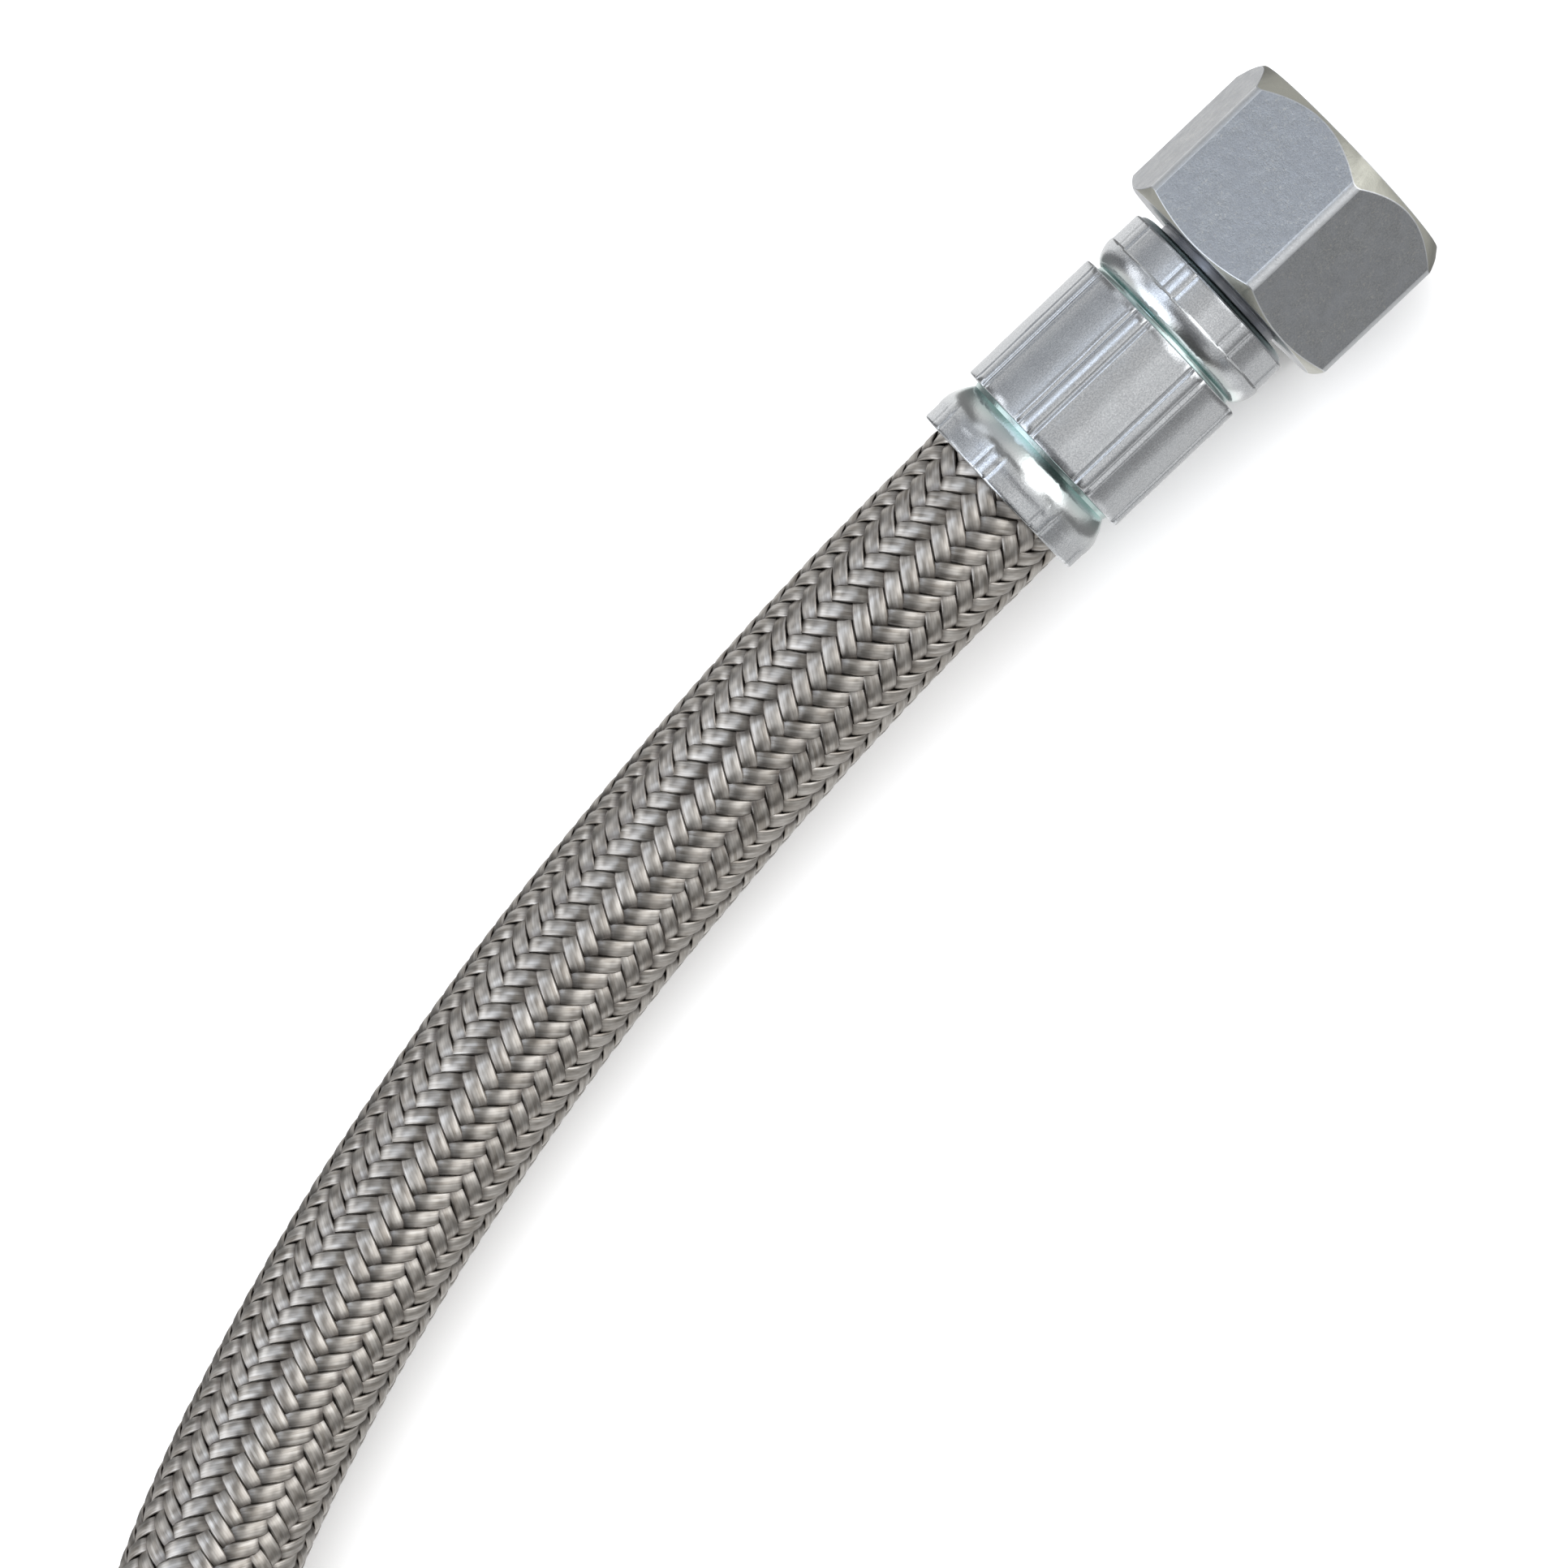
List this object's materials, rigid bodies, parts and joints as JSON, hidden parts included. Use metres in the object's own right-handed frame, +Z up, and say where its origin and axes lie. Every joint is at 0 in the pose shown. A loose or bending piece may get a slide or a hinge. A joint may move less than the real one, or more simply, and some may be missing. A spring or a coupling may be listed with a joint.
{
  "type": "brake hose",
  "caption": "Brake hose under a woven stainless-steel braid, lying in a wide bend, with a crimped ferrule and a turning hexagonal union nut at each end.",
  "frame": {"origin": "centre of the near nut's lower wrench flat, on the surface that the hose lies on", "axes": "+X along the near fitting's axis towards its mating port, +Z up"},
  "size_m": [0.179, 0.1691, 0.019],
  "materials": {
    "zinc_nut": "satin zinc plating with a fine speckle",
    "zinc_ferrule": "bright zinc plating, scratched and pressed by the crimping jaws",
    "nipple_steel": "turned and zinc plated",
    "seal_rubber": "matt black rubber",
    "liner_plastic": "smooth milky plastic",
    "stainless_braid": "woven bright stainless wire"
  },
  "bodies": {
    "hose_assembly": {"hose_braid": "stainless_braid", "hose_liner": "liner_plastic", "near_ferrule": "zinc_ferrule", "near_nipple": "nipple_steel", "near_seal_ring": "seal_rubber", "far_ferrule": "zinc_ferrule", "far_nipple": "nipple_steel", "far_seal_ring": "seal_rubber"},
    "near_nut": {"near_swivel_nut": "zinc_nut"},
    "far_nut": {"far_swivel_nut": "zinc_nut"}
  },
  "joints": [
    {"name": "near_nut_turn", "type": "hinge", "parent": "hose_assembly", "child": "near_nut", "pos_m": [0, 0, 0.0095], "axis": [1, 0, 0], "continuous": true},
    {"name": "far_nut_turn", "type": "hinge", "parent": "hose_assembly", "child": "far_nut", "pos_m": [-0.0229, -0.1475, 0.0095], "axis": [1, 0, 0], "continuous": true}
  ]
}
